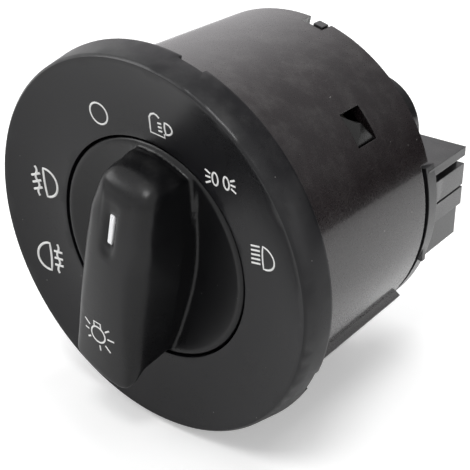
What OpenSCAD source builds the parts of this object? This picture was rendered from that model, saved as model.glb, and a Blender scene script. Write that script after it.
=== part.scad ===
// Rotary headlight switch for a dashboard, pushed in from the front and held by two side latches.
// The switch axis is +Y: the driver looks along it, and +Y goes into the panel.
// The origin is the centre of the ring by which the bezel seats on the panel.
// Clock angles go round the axis from straight up, clockwise as the driver sees them.

/* [Bezel] */
// Diameter across the front edge of the face
face_d = 73; // [71:0.5:74]
// Diameter of the rear rim that seats on the panel
rim_d = 75; // [74.6:0.2:78]
// Depth of the bezel in front of the panel
bezel_depth = 6.2; // [5.8:0.1:7]
// Depth of the dish in the face
dish = 2.8; // [2.2:0.1:3.2]
// Thickness of the face
face_wall = 2.2; // [1.8:0.1:2.4]
// Diameter of the opening for the knob
opening_d = 43.6; // [42:0.2:45]
// Wall of the collar round the opening
collar_wall = 1.2; // [1:0.1:1.4]
// Reach of the collar behind the seat
collar_reach = 2; // [1:0.25:2.5]
// Depth of the two pry notches in the rim's rear edge
pry_depth = 0.9; // [0.5:0.1:1.5]
// Clock angles of the two pry notches
pry_clock = [15.5, 115.5];
// Width of a pry notch along the rim, in degrees
pry_span = 8; // [5:1:12]

/* [Barrel] */
// Outer diameter of the barrel
barrel_d = 67; // [65:0.5:67.6]
// Distance from the seat to the barrel's rear edge
barrel_len = 39.7; // [38.5:0.1:43]
// Wall of the barrel
wall = 2; // [1.6:0.1:2.2]
// Diameter of the flange inside the bezel's skirt
flange_d = 70.2; // [69.6:0.1:70.6]
// Thickness of the flange
flange_t = 1.8; // [1.4:0.1:2]
// How far the rear edge is stepped forward over its lower part
rear_step = 2.6; // [1.5:0.1:3]
// Clock angle at which the step starts on the right side
step_clock = 72; // [66:1:80]
// Clock angle of the key rib
key_clock = 125; // [105:1:170]
// Width of the key rib
key_w = 2.4; // [1.5:0.1:4]
// Height of the key rib
key_h = 1.4; // [0.8:0.1:1.8]
// Distance from the seat to the end of the key rib
key_len = 37; // [20:0.2:37.4]
// Thickness of the bulkhead
bulkhead_t = 2; // [1.6:0.1:2.2]
// Width of the inner rails that key the plates
keying_w = 3; // [2:0.25:4]

/* [Latches] */
// Clock angle of the right latch, the left one is opposite
latch_clock = 50.8; // [48:0.2:56]
// Width of a latch window
window_w = 6.7; // [6:0.1:7.5]
// Length of a latch window along the barrel
window_h = 5.8; // [5.4:0.1:6.2]
// Distance from the seat to the front edge of the window
window_y = 21.4; // [21.2:0.1:21.8]
// Distance from a latch's pin to the inside of the barrel
pin_in = 7; // [6.8:0.1:8]
// Length of a latch on the inner side of its pin
latch_tail = 4.5; // [3:0.1:4.6]
// How far a latch stands out of the barrel
latch_out = 1.9; // [1.5:0.1:2.3]
// Travel of a latch into the barrel
latch_stroke = 3; // [2.5:0.1:3.2]
// Radius of a latch's pin
latch_pin_r = 1.2; // [0.9:0.1:1.4]
// Turn of the release ring over that travel, in degrees
release_turn = 30; // [26:1:34]
// Thickness of the release ring
release_t = 2; // [1.6:0.1:2.2]

/* [Knob] */
// Gap between knob and bezel opening
knob_gap = 0.4; // [0.3:0.05:0.8]
// Distance from the disc's face to the top of the grip
grip_rise = 11.2; // [11:0.2:14]
// Width of the grip across its middle
grip_w = 16.4; // [15:0.1:17.2]
// How much each side narrows towards the ends
grip_bow = 3.4; // [0.6:0.1:4]
// Reach of the grip's tail end about the switch axis
grip_r = 26.2; // [23.4:0.1:27]
// Reach of the grip's pointer end about the switch axis
nose_r = 21.6; // [21.2:0.1:22.4]
// Radius of the grip's round tail end, seen from the front
tail_round = 11; // [10:0.5:13]
// How far below the axis the grip is widest
grip_back = 8; // [5:0.5:9]
// How much wider the grip is at its foot, on each side
grip_draft = 0.7; // [0.4:0.1:0.9]
// How far the grip's foot stays inside the disc's edge
grip_foot = 1.5; // [1.2:0.1:2]
// Rounding of the grip's long top edges
grip_edge = 3.2; // [1.5:0.1:3.6]
// Wall of the hollow grip
grip_wall = 1.8; // [1.4:0.1:2]
// Clock angle at which the pointer end rests
grip_clock = 15; // [10:1:20]
// Pull of the knob towards the driver
knob_pull = 7; // [5:0.5:7]
// Push of the knob into the switch
knob_push = 2.5; // [2:0.1:2.8]
// Depth of the knob's skirt behind the seat
skirt_reach = 4.6; // [4:0.1:4.8]
// Wall of the knob's skirt
skirt_wall = 1.6; // [1.2:0.1:2]
// Depth of the finger scoops beside the grip
scoop = 1.2; // [0.6:0.1:1.5]

/* [Shaft and rotor] */
// Width of the square shaft
shaft_w = 7; // [6.4:0.1:7.2]
// Clearance of the square shaft in its bores
shaft_gap = 0.06; // [0.04:0.01:0.1]
// Radius of the bore that lets the light through the shaft
light_bore_r = 2.1; // [1.6:0.1:2.4]
// Radius of the rotor's neck
neck_r = 8; // [7.6:0.1:8.4]
// Running clearance of round parts
run_gap = 0.08; // [0.04:0.01:0.1]
// Radius of the rotor's flange
rotor_flange_r = 18; // [17.4:0.1:18.4]
// Thickness of the rotor's flange
rotor_flange_t = 2.5; // [2.3:0.1:2.8]
// Turn between two switch positions, in degrees
detent_step = 30; // [28:1:32]
// Radius of the detent ball
ball_r = 1.1; // [0.9:0.05:1.1]
// Length of the pull slider
slider_len = 4.1; // [3.4:0.1:4.4]
// Width of a contact track
track_w = 1.2; // [0.9:0.1:1.3]

/* [Contacts and boards] */
// Thickness of the front board
board_t = 1.6; // [1.2:0.1:1.8]
// Distance from the seat to the front board
board_y = 4; // [3.8:0.1:4.4]
// Thickness of the contact plate
plate_t = 2; // [1.6:0.1:2.2]
// Thickness of the terminal board
terminal_board_t = 1.6; // [1.2:0.1:1.8]
// Rows of terminal pins
pin_rows = 7; // [5:1:7]
// Spacing of the pin rows
pin_pitch = 2.5; // [2.2:0.1:2.7]
// Spacing of the two pin columns
column_pitch = 5.6; // [5:0.1:6]
// Height of the lamp behind the shaft
led_h = 1.1; // [0.8:0.1:1.6]
// Width of a terminal pin
pin_w = 1.6; // [1.2:0.1:1.8]
// Thickness of a terminal pin
pin_t = 0.7; // [0.5:0.05:0.8]

/* [Rear cover and connector] */
// Thickness of the rear cover
cover_t = 2; // [1.6:0.1:2.4]
// Width of the flange band that shows behind the stepped edge
band_w = 3; // [2:0.1:3.2]
// Gap between the stepped edge and the flange band
band_gap = 1.5; // [1:0.1:1.8]
// Outer radius of the rear tube
tube_r = 11.95; // [11.8:0.05:12.4]
// Wall of the rear tube
tube_wall = 1.75; // [1.6:0.05:1.9]
// Radius of the round boss
boss_r = 10; // [8:0.25:11]
// Place of the boss, to the right of and above the axis
boss_at = [16.5, 13];
// Length of the boss behind the cover
boss_len = 6.4; // [4:0.2:9]
// Width of the connector shroud
shroud_w = 17.5; // [16:0.25:19]
// Height of the connector shroud
shroud_h = 21; // [20.6:0.1:24]
// Centre of the shroud, to the right of and above the axis
shroud_at = [21.25, -1.9];
// Wall of the shroud
shroud_wall = 1.6; // [1.3:0.1:2]
// Distance from the seat to the shroud's mouth
shroud_end = 54; // [52:0.2:58]
// Depth of the pins below the shroud's mouth
pin_below = 5.7; // [5.2:0.1:6.5]
// Width of the locking ledge on the shroud's right side
ledge_w = 2.5; // [1.5:0.1:3]
// Height of the locking ledge
ledge_h = 19.6; // [10:0.2:20.4]
// Clock angle of the upper clip hook, the other one is opposite
hook_clock = 14; // [12:0.5:22]
// Width of a clip hook
hook_w = 2; // [1.4:0.1:3]
// Open room in a notch on one side of its hook
notch_room = 2.6; // [0.4:0.1:3]

/* [Hidden] */
$fn = 96;

// Clearance between pieces that are fitted face to face or side by side
seat_gap = 0.3;
slide_gap = 0.2;
eps = 0.01;

opening_r = opening_d / 2;
collar_r = opening_r + collar_wall;
face_r = face_d / 2;
rim_r = rim_d / 2;
barrel_r = barrel_d / 2;
barrel_in = barrel_r - wall;
flange_r = flange_d / 2;
skirt_in = flange_r + seat_gap;

// The dish is an arc that is level at the opening and rises to the front edge
dish_r = (pow(face_r - opening_r, 2) + dish * dish) / (2 * dish);
opening_y = dish - bezel_depth;
function face_y(r, inset) = opening_y - dish_r + sqrt(pow(dish_r + inset, 2) - pow(r - opening_r, 2));

flange_end = face_y(flange_r, face_wall) + seat_gap + flange_t;
board_r = barrel_in - seat_gap;
board_in = collar_r + 0.6;
shelf_r = barrel_in - 1.9;
guide_t = 2.4;
board_end = board_y + board_t;

knob_r = opening_r - knob_gap;
skirt_in_r = knob_r - skirt_wall;
hub_y = skirt_reach + 0.4;
bulkhead_y = skirt_reach + knob_push + 2.4;
bulkhead_end = bulkhead_y + bulkhead_t;
hub_bore = neck_r + run_gap;
hub_wall = 2;

rotor_front = hub_y + 0.4;
rotor_flange_y = bulkhead_end + seat_gap;
rotor_flange_end = rotor_flange_y + rotor_flange_t;
track_t = 0.2;
track_pitch = 2.1;
track_r = rotor_flange_r - track_w / 2 - 2 * track_pitch - 1;
bridge_t = 1.6;
bridge_gap = 0.1;
bridge_w = track_w - 0.3;
plate_y = rotor_flange_end + bridge_t + bridge_gap + track_t;
plate_end = plate_y + plate_t;

ball_at = rotor_flange_r + 1 - ball_r;
pocket = 5;
detent_in = rotor_flange_r + 1.05;
detent_wall = 2.6;
notch_r = ball_r + 0.3;

latch_w = window_w - 2 * slide_gap;
latch_y = window_y + slide_gap;
latch_h = window_h - 2 * slide_gap;
latch_end = latch_y + latch_h;
pin_at = barrel_in - pin_in;
latch_in = pin_at - latch_tail;
guide_in = latch_in - 0.5;
guide_out = barrel_in - 0.9;
guide_wall = 2;
guide_end = latch_end + 0.9;
release_y = guide_end + seat_gap;
release_end = release_y + release_t;
release_hub = tube_r + run_gap;
release_hub_r = release_hub + 1.6;
arm_in = release_hub_r + 1.4;
slot_half = latch_pin_r + 0.15;
arm_r = pin_at + slot_half + 1.3;
arm_edge = 6;

wire_r = 0.45;
release_wire_r = 0.28;
spring_r = release_hub_r + wire_r + 0.35;
spring_turns = 1.25;
release_hub_end = release_end + 1.6;
terminal_board_y = release_hub_end + 0.4;
terminal_board_end = terminal_board_y + terminal_board_t;
bar_t = 0.8;
bar_w = 3;
tube_y = release_y - 0.4;
tube_in = tube_r - tube_wall;
keying_clock = [5.8, 95.8, 185.8, 275.8];
keying_in = barrel_in - 1.1;

// The rear stack is laid out forwards from the barrel's rear edge, so it follows the barrel's length
cover_set = 2.1;
cover_y = barrel_len - cover_set;
cover_end = cover_y + cover_t;
clip_t = 0.6;
clip_r = shaft_w / 2 + 2.7;
groove_r = shaft_w / 2 + 0.9;
shaft_front = opening_y - 2.6;
shaft_end = cover_y - led_h - 0.5 - knob_push;
clip_y = shaft_end - 0.55 - clip_t;
slider_end = clip_y - 0.05;
slider_y = slider_end - slider_len;
slider_r = tube_in - run_gap;
wiper_t = 1.25;
collar_end = slider_y - slide_gap - knob_pull;

step_y = barrel_len - rear_step;
band_y = step_y + band_gap;
band_in = barrel_in - 1.5;
band_clock = step_clock + 1.6;
strip_t = 0.4;
strip_y = tube_y + 0.6;
strip_end = cover_y - 2;

disc_t = 2.2;
disc_edge = 0.4;
top_y = opening_y - grip_rise;
under = 4.6;
waist_r = grip_r - under;
waist_y = top_y + under;
hub_r = shaft_w / 2 + 2.3;
hub_end = rotor_front - knob_push - 0.5;
lens_out = nose_r - 7.8;
lens_len = 6.1;
lens_w = 1.1;
lens_y = top_y + grip_wall + 0.1;
lens_t = 1.4;
groove_t = 0.55;
groove_half = 1.55;
groove_past = 1.7;

shroud_x0 = shroud_at[0] - shroud_w / 2;
shroud_x1 = shroud_at[0] + shroud_w / 2;
shroud_z0 = shroud_at[1] - shroud_h / 2;
shroud_z1 = shroud_at[1] + shroud_h / 2;
shroud_y = cover_end - 0.4;
cavity_y = cover_end + 0.8;
pin_front = terminal_board_y - 0.3;
pin_end = shroud_end - pin_below;

module along_y() {
    rotate([-90, 0, 0]) children();
}

module at_clock(c) {
    rotate([0, 0, c - 90]) children();
}

module ring(outer, inner, y0, y1) {
    translate([0, 0, y0]) difference() {
        cylinder(r = outer, h = y1 - y0);
        translate([0, 0, -1]) cylinder(r = inner, h = y1 - y0 + 2);
    }
}

module arc_block(inner, outer, c0, c1, y0, y1) {
    at_clock(c0) rotate_extrude(angle = c1 - c0) translate([inner, y0]) square([outer - inner, y1 - y0]);
}

// A box from the driver's view: x to the right, z up, y into the panel
module view_box(x0, x1, z0, z1, y0, y1) {
    translate([x0, -z1, y0]) cube([x1 - x0, z1 - z0, y1 - y0]);
}

// A coil of round wire about the local z axis, as one closed surface
module coil(radius, wire, y0, y1, turns, steps) {
    sides = 8;
    rings = floor(turns * steps);
    points = [for (i = [0:rings], j = [0:sides - 1])
        let (a = 360 * i / steps, b = 360 * j / sides, r = radius + wire * cos(b))
        [r * cos(a), r * sin(a), y0 + (y1 - y0) * i / rings + wire * sin(b)]];
    walls = [for (i = [0:rings - 1], j = [0:sides - 1])
        let (k = (j + 1) % sides)
        [i * sides + j, i * sides + k, (i + 1) * sides + k, (i + 1) * sides + j]];
    first = [for (j = [sides - 1:-1:0]) j];
    last = [for (j = [0:sides - 1]) rings * sides + j];
    polyhedron(points, concat(walls, [first, last]), convexity = 6);
}

module barrel_housing() {
    color([0.10, 0.09, 0.09]) along_y() difference() {
        union() {
            rotate_extrude() barrel_profile();
            ring(barrel_r - wall / 2, shelf_r, board_end, plate_y);
            ring(barrel_r - wall / 2, hub_bore, bulkhead_y, bulkhead_end);
            ring(hub_bore + hub_wall, hub_bore, hub_y, bulkhead_end - bulkhead_t / 2);
            detent_ring();
            key_rib();
            for (c = keying_clock)
                at_clock(c) translate([keying_in, -keying_w / 2, plate_y - eps])
                    cube([barrel_in - keying_in + wall / 2, keying_w, cover_y - plate_y + eps]);
        }
        arc_block(keying_in - 2, barrel_r + 1, step_clock, 360 - step_clock, step_y, barrel_len + 1);
        for (c = [latch_clock, latch_clock + 180])
            at_clock(c) translate([barrel_in - 1, -window_w / 2, window_y]) cube([wall + 2, window_w, window_h]);
        for (c = [hook_clock, hook_clock + 180])
            at_clock(c) translate([keying_in, -hook_w / 2 - notch_room, step_y - 0.6])
                cube([wall + 4, hook_w + notch_room + slide_gap, 6]);
    }
}

// The barrel's front edge and flange follow the back of the dished face
module barrel_profile() {
    difference() {
        polygon([
            [barrel_in, -bezel_depth], [flange_r, -bezel_depth], [flange_r, flange_end],
            [barrel_r, flange_end], [barrel_r, barrel_len], [barrel_in, barrel_len]
        ]);
        translate([opening_r, opening_y - dish_r]) circle(r = dish_r + face_wall + seat_gap, $fn = 200);
    }
}

module detent_ring() {
    difference() {
        ring(detent_in + detent_wall, detent_in, bulkhead_end - eps, rotor_flange_end);
        for (k = [-1:2])
            at_clock(grip_clock + 180 + k * detent_step) translate([detent_in - notch_r + 0.6, 0, bulkhead_end])
                cylinder(r = notch_r, h = rotor_flange_t + 1);
    }
}

module key_rib() {
    at_clock(key_clock) translate([barrel_r - wall / 2, -key_w / 2, slide_gap])
        cube([key_h + wall / 2, key_w, key_len - slide_gap]);
}

module front_bezel() {
    color([0.07, 0.07, 0.075]) along_y() difference() {
        union() {
            rotate_extrude() bezel_profile();
            for (k = [0:3])
                arc_block(flange_r - 0.8, skirt_in + 0.2, 45 + 90 * k - 9, 45 + 90 * k + 9,
                    flange_end + 0.1, flange_end + 0.8);
        }
        for (c = pry_clock)
            arc_block(skirt_in - 1, rim_r + 1, c - pry_span / 2, c + pry_span / 2, -pry_depth, 1);
    }
}

module bezel_profile() {
    edge = 0.7;
    difference() {
        polygon([
            [opening_r, -bezel_depth], [face_r - edge, -bezel_depth],
            [face_r, edge - bezel_depth], [rim_r, -0.6], [rim_r, 0], [collar_r, 0],
            [collar_r, collar_reach], [opening_r, collar_reach]
        ]);
        translate([opening_r, opening_y - dish_r]) circle(r = dish_r, $fn = 200);
        difference() {
            translate([collar_r, -bezel_depth]) square([skirt_in - collar_r, bezel_depth + collar_reach + 1]);
            translate([opening_r, opening_y - dish_r]) circle(r = dish_r + face_wall, $fn = 200);
        }
    }
}

module light_guide() {
    color([0.82, 0.86, 0.88, 0.7]) along_y() rotate_extrude() difference() {
        polygon([
            [board_in + 0.2, opening_y], [board_r, opening_y], [board_r, board_y],
            [board_r - 1, board_y], [board_r - 1, board_y - guide_t], [board_in + 0.2, board_y - guide_t]
        ]);
        translate([opening_r, opening_y - dish_r]) circle(r = dish_r + face_wall + seat_gap, $fn = 200);
    }
}

module circuit_board() {
    color([0.05, 0.25, 0.14]) along_y() ring(board_r, board_in, board_y, board_end);
}

module board_leds() {
    color([0.95, 0.93, 0.80]) along_y() for (c = [-105, -75, -15, 15, 45, 75])
        at_clock(c) translate([(board_in + board_r) / 2 - 0.8, -1.4, board_y - 1]) cube([1.6, 2.8, 1]);
}

module contact_plate() {
    color([0.18, 0.18, 0.19]) along_y() difference() {
        union() {
            ring(board_r, hub_bore, plate_y, plate_end);
            ring(hub_bore + hub_wall, hub_bore, plate_y, collar_end);
            for (c = [latch_clock, latch_clock + 180]) at_clock(c) latch_guide();
        }
        for (c = keying_clock)
            at_clock(c) translate([keying_in - slide_gap, -keying_w / 2 - slide_gap, plate_y - 1])
                cube([4, keying_w + 2 * slide_gap, plate_t + 2]);
    }
}

module latch_guide() {
    inner_w = latch_w + 2 * slide_gap;
    outer_w = inner_w + 2 * guide_wall;
    difference() {
        translate([guide_in, -outer_w / 2, plate_end - eps]) cube([guide_out - guide_in, outer_w, guide_end - plate_end]);
        translate([guide_in - 1, -inner_w / 2, latch_y - slide_gap]) cube([guide_out, inner_w, latch_h + 3]);
    }
}

// Each track is an arc on the plate: its place from the innermost, and its two clock angles
module contact_tracks() {
    arcs = [[0, 60, 300], [1, 60, 170], [1, 190, 300], [2, 60, 120], [2, 200, 280]];
    color([0.80, 0.62, 0.30]) along_y() for (t = arcs)
        let (r = track_r + t[0] * track_pitch)
            arc_block(r - track_w / 2, r + track_w / 2, t[1], t[2], plate_y - track_t, plate_y);
}

module terminal_board() {
    color([0.06, 0.22, 0.13]) along_y() difference() {
        ring(board_r, tube_r + 0.4, terminal_board_y, terminal_board_end);
        for (c = keying_clock)
            at_clock(c) translate([keying_in - slide_gap, -keying_w / 2 - slide_gap, terminal_board_y - 1])
                cube([4, keying_w + 2 * slide_gap, terminal_board_t + 2]);
        pin_grid(0.03, terminal_board_y - 1, terminal_board_end + 1);
    }
}

module bus_bars() {
    color([0.78, 0.62, 0.32]) along_y() for (c = [110, 165, 290, 335])
        at_clock(c) translate([arm_r + 0.8, -bar_w / 2, plate_end])
            cube([bar_t, bar_w, terminal_board_y - plate_end]);
}

// The pins' places, with a clearance round each blade
module pin_grid(gap, y0, y1) {
    for (side = [-1, 1], row = [0:pin_rows - 1]) {
        px = shroud_at[0] + side * column_pitch / 2;
        pz = shroud_at[1] + (row - (pin_rows - 1) / 2) * pin_pitch;
        view_box(px - pin_w / 2 - gap, px + pin_w / 2 + gap, pz - pin_t / 2 - gap, pz + pin_t / 2 + gap, y0, y1);
    }
}

module terminal_pins() {
    color([0.85, 0.80, 0.68]) along_y() pin_grid(0, pin_front, pin_end);
}

module pull_contacts() {
    color([0.80, 0.62, 0.30]) along_y() for (c = [30, 210])
        arc_block(tube_in, tube_in + strip_t, c - 10, c + 110, strip_y, strip_end);
}

module rear_cover() {
    color([0.11, 0.11, 0.115]) along_y() difference() {
        union() {
            translate([0, 0, cover_y]) cylinder(r = barrel_in - slide_gap, h = cover_t);
            arc_block(band_in, barrel_r, band_clock, 360 - band_clock, band_y, band_y + band_w);
            ring(tube_r, tube_in, tube_y, cover_y + eps);
            boss();
            shroud();
            for (c = [hook_clock, hook_clock + 180]) at_clock(c) clip_hook();
        }
        shroud_cavity();
        pin_grid(0.03, cover_y - 1, cover_end + 2);
        for (c = [30, 210])
            arc_block(tube_in - 1, tube_in + strip_t, c - 10, c + 110, strip_y, strip_end);
    }
}

module boss() {
    translate([boss_at[0], -boss_at[1], 0]) rotate_extrude() polygon([
        [0, cover_y], [boss_r, cover_y], [boss_r, cover_end + boss_len - 0.8],
        [boss_r - 0.8, cover_end + boss_len], [0, cover_end + boss_len]
    ]);
}

// The connector's shroud, with a grooved locking ledge on its right side and a lead-in round its mouth
module shroud() {
    side = shroud_x1 + ledge_w;
    grooves = [[1.9, 3.6, ledge_w * 0.7], [8.2, 8.7, ledge_w * 0.2], [12.6, ledge_h + 1, ledge_w * 0.36]];
    view_box(shroud_x0, shroud_x1, shroud_z0, shroud_z1, shroud_y, shroud_end);
    difference() {
        view_box(shroud_x1 - 0.5, side, shroud_z1 - ledge_h, shroud_z1, shroud_y, shroud_end);
        for (g = grooves)
            view_box(side - g[2], side + 1, shroud_z1 - g[1], shroud_z1 - g[0], cavity_y, shroud_end + 1);
    }
}

module shroud_cavity() {
    view_box(shroud_x0 + shroud_wall, shroud_x1 - shroud_wall,
        shroud_z0 + shroud_wall, shroud_z1 - shroud_wall, cavity_y, shroud_end + 1);
}

module clip_hook() {
    hook_t = 1;
    translate([barrel_in - 1, -hook_w / 2, step_y - 0.3])
        cube([wall + 0.6, hook_w, cover_end - step_y + 0.3]);
    translate([barrel_r - 0.5, -hook_w / 2, step_y - 0.3]) cube([hook_t - 0.2, hook_w, 2]);
}

module shaft_led() {
    color([0.95, 0.93, 0.80]) along_y() translate([0, 0, cover_y - led_h]) cylinder(r = light_bore_r - 0.3, h = led_h);
}

module release_spring() {
    color([0.70, 0.70, 0.72]) along_y()
        coil(spring_r, release_wire_r, release_end + release_wire_r + 0.05,
            release_hub_end - release_wire_r - 0.05, spring_turns, 32);
}

module knob_spring() {
    color([0.70, 0.70, 0.72]) along_y()
        coil(clip_r + wire_r + 0.4, wire_r, slider_end + wire_r + 0.1, cover_y - wire_r - 0.05, 3, 24);
}

module rotor_carrier() {
    color([0.80, 0.80, 0.78]) along_y() difference() {
        union() {
            translate([0, 0, rotor_front]) cylinder(r = neck_r, h = collar_end - rotor_front);
            translate([0, 0, rotor_flange_y]) cylinder(r = rotor_flange_r, h = rotor_flange_t);
        }
        square_bore(rotor_front - 1, collar_end + 1);
        at_clock(grip_clock + 180) translate([ball_at - pocket, 0, rotor_flange_y + rotor_flange_t / 2])
            rotate([0, 90, 0]) cylinder(r = ball_r + 0.03, h = pocket + 3);
    }
}

module square_bore(y0, y1) {
    w = shaft_w + 2 * shaft_gap;
    at_clock(grip_clock) translate([-w / 2, -w / 2, y0]) cube([w, w, y1 - y0]);
}

module contact_bridges() {
    color([0.80, 0.62, 0.30]) along_y() for (c = [105, 225])
        for (k = [0:2])
            let (r = track_r + k * track_pitch)
                arc_block(r - bridge_w / 2, r + bridge_w / 2, c - 8, c + 8,
                    rotor_flange_end, rotor_flange_end + bridge_t);
}

module detent_spring() {
    color([0.70, 0.70, 0.72]) along_y() at_clock(grip_clock + 180)
        translate([ball_at - pocket, 0, rotor_flange_y + rotor_flange_t / 2]) rotate([0, 90, 0])
            coil(ball_r - 0.35, 0.17, 0.2, pocket - ball_r - 0.2, 5, 10);
}

module detent_ball() {
    color([0.75, 0.75, 0.77]) along_y() at_clock(grip_clock + 180)
        translate([ball_at, 0, rotor_flange_y + rotor_flange_t / 2]) sphere(r = ball_r, $fn = 48);
}

// Outline of the grip seen from the front, with its long axis along x
module grip_plan(inset) {
    half = grip_w / 2 + grip_draft;
    reach = nose_r + grip_back;
    side_r = (reach * reach + grip_bow * grip_bow) / (2 * grip_bow);
    tail_at = tail_round - grip_r;
    intersection() {
        translate([-grip_back, half - side_r]) circle(r = side_r - inset, $fn = 360);
        translate([-grip_back, side_r - half]) circle(r = side_r - inset, $fn = 360);
        union() {
            circle(r = nose_r - inset, $fn = 240);
            translate([-grip_r - 1, -grip_w]) square([grip_r + 1, 2 * grip_w]);
        }
        union() {
            translate([tail_at, 0]) circle(r = tail_round - inset, $fn = 240);
            translate([tail_at, -grip_w]) square([2 * grip_r, 2 * grip_w]);
        }
    }
}

// Half profile of the grip's ends, which overhang the disc and follow an arc about the switch axis
module grip_ends(inset) {
    polygon([
        [0, opening_y + 1], [knob_r - grip_foot - inset, opening_y + 1], [waist_r - inset, waist_y],
        [grip_r - inset, top_y + inset / 2], [grip_r - inset, top_y - 1], [0, top_y - 1]
    ]);
}

// Side view of the grip's crowned top, rounded over at the pointer end, x along the grip
module grip_side(inset) {
    nose = 5.5;
    tail = 2;
    crown = 340;
    intersection() {
        difference() {
            translate([-grip_r - 1, top_y + inset]) square([2 * grip_r + 2, grip_rise + 4]);
            translate([nose_r - nose, top_y - 1]) difference() {
                square([grip_r, nose + 1]);
                translate([0, nose + 1]) circle(r = nose - inset);
            }
            translate([-grip_r - 2, top_y - 1]) difference() {
                square([tail + 2, tail + 1]);
                translate([tail + 2, tail + 1]) circle(r = tail - inset / 2);
            }
        }
        translate([0, top_y + crown]) circle(r = crown - inset, $fn = 720);
    }
}

// Cross-section of the grip, x across it and y towards the panel
module grip_section(inset) {
    half = grip_w / 2 - inset;
    foot = half + grip_draft;
    e = max(grip_edge - inset, 0.3);
    union() {
        polygon([
            [-foot, opening_y + 1], [-half, top_y + inset + e], [-half + e, top_y + inset + e],
            [-half + e, top_y + inset], [half - e, top_y + inset], [half - e, top_y + inset + e],
            [half, top_y + inset + e], [foot, opening_y + 1]
        ]);
        for (s = [-1, 1]) translate([s * (half - e), top_y + inset + e]) circle(r = e);
    }
}

module grip(inset) {
    intersection() {
        rotate_extrude() grip_ends(inset);
        translate([0, 0, top_y - 1]) linear_extrude(height = grip_rise + 4) grip_plan(inset);
        translate([0, grip_w, 0]) rotate([90, 0, 0]) linear_extrude(height = grip_w * 2) grip_side(inset);
        translate([-grip_r - 1, 0, 0]) rotate([90, 0, 90]) linear_extrude(height = grip_r * 2 + 2) grip_section(inset);
    }
}

module knob_cap() {
    color([0.06, 0.06, 0.065]) along_y() difference() {
        union() {
            difference() {
                rotate_extrude() polygon([
                    [0, opening_y], [knob_r - disc_edge, opening_y], [knob_r, opening_y + disc_edge], [knob_r, skirt_reach],
                    [skirt_in_r, skirt_reach], [skirt_in_r, opening_y + disc_t], [0, opening_y + disc_t]
                ]);
                translate([0, 0, opening_y + scoop - scoop_r()]) sphere(r = scoop_r(), $fn = 180);
            }
            at_clock(grip_clock) difference() {
                grip(0);
                grip(grip_wall);
            }
            translate([0, 0, top_y + grip_wall / 2]) cylinder(r = hub_r, h = hub_end - top_y - grip_wall / 2);
        }
        at_clock(grip_clock) intersection() {
            grip(grip_wall);
            difference() {
                translate([-grip_r, -grip_w, opening_y - 0.6]) cube([2 * grip_r, 2 * grip_w, disc_t + 1]);
                cylinder(r = hub_r, h = 40, center = true);
            }
        }
        square_bore(shaft_front, hub_end + 1);
        translate([0, 0, lens_y + lens_t + eps]) cylinder(r = light_bore_r, h = 12);
        lens_slot(0.02);
    }
}

function scoop_r() = (pow(knob_r - 1.1, 2) + scoop * scoop) / (2 * scoop);

// The slot for the indicator, with the shallow racetrack groove round it
module lens_slot(gap) {
    at_clock(grip_clock) {
        translate([-2.2, -lens_w / 2 - 0.5 - gap, lens_y - gap])
            cube([lens_out + 2.4 + gap, lens_w + 1 + 2 * gap, lens_t + 2 * gap]);
        translate([lens_out - lens_len - gap, -lens_w / 2 - gap, top_y - 2])
            cube([lens_len + 2 * gap, lens_w + 2 * gap, lens_y - top_y + 2 + eps]);
        translate([0, 0, top_y - 2]) linear_extrude(height = 2 + groove_t) union() {
            translate([lens_out - lens_len - 1, -groove_half]) square([lens_len + 1 + groove_past, 2 * groove_half]);
            for (x = [lens_out - lens_len - 1, lens_out + groove_past]) translate([x, 0]) circle(r = groove_half);
        }
    }
}

module indicator_lens() {
    color([0.95, 0.97, 1.0]) along_y() at_clock(grip_clock) {
        translate([-2, -lens_w / 2 - 0.5, lens_y]) cube([lens_out + 2.2, lens_w + 1, lens_t]);
        translate([lens_out - lens_len, -lens_w / 2, top_y + groove_t])
            cube([lens_len, lens_w, lens_y - top_y - groove_t + 0.05]);
    }
}

module knob_shaft() {
    color([0.82, 0.82, 0.80]) along_y() difference() {
        at_clock(grip_clock) translate([-shaft_w / 2, -shaft_w / 2, shaft_front + 0.05])
            cube([shaft_w, shaft_w, shaft_end - shaft_front - 0.05]);
        translate([0, 0, shaft_front - 1]) cylinder(r = light_bore_r, h = shaft_end - shaft_front + 2);
        ring(shaft_w, groove_r, clip_y - 0.02, clip_y + clip_t + 0.02);
    }
}

module light_pipe() {
    color([0.90, 0.93, 0.96, 0.6]) along_y() translate([0, 0, lens_y + lens_t + 0.05])
        cylinder(r = light_bore_r - 0.05, h = shaft_end - lens_y - lens_t - 0.25);
}

module pull_slider() {
    color([0.20, 0.20, 0.21]) along_y() difference() {
        translate([0, 0, slider_y]) cylinder(r = slider_r, h = slider_len);
        square_bore(slider_y - 1, slider_end + 1);
        for (c = [75, 255])
            arc_block(slider_r - wiper_t - 0.05, slider_r + 1, c - 14, c + 14, slider_y + 0.9, slider_end - 0.9);
    }
}

module pull_wiper() {
    color([0.80, 0.62, 0.30]) along_y() for (c = [75, 255])
        arc_block(slider_r - wiper_t, slider_r, c - 13, c + 13, slider_y + 1, slider_end - 1);
}

module shaft_clip() {
    color([0.60, 0.60, 0.62]) along_y() difference() {
        ring(clip_r, groove_r + 0.03, clip_y, clip_y + clip_t);
        at_clock(grip_clock + 90) translate([0, -1.2, clip_y - 1]) cube([clip_r + 1, 2.4, clip_t + 2]);
    }
}

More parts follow.
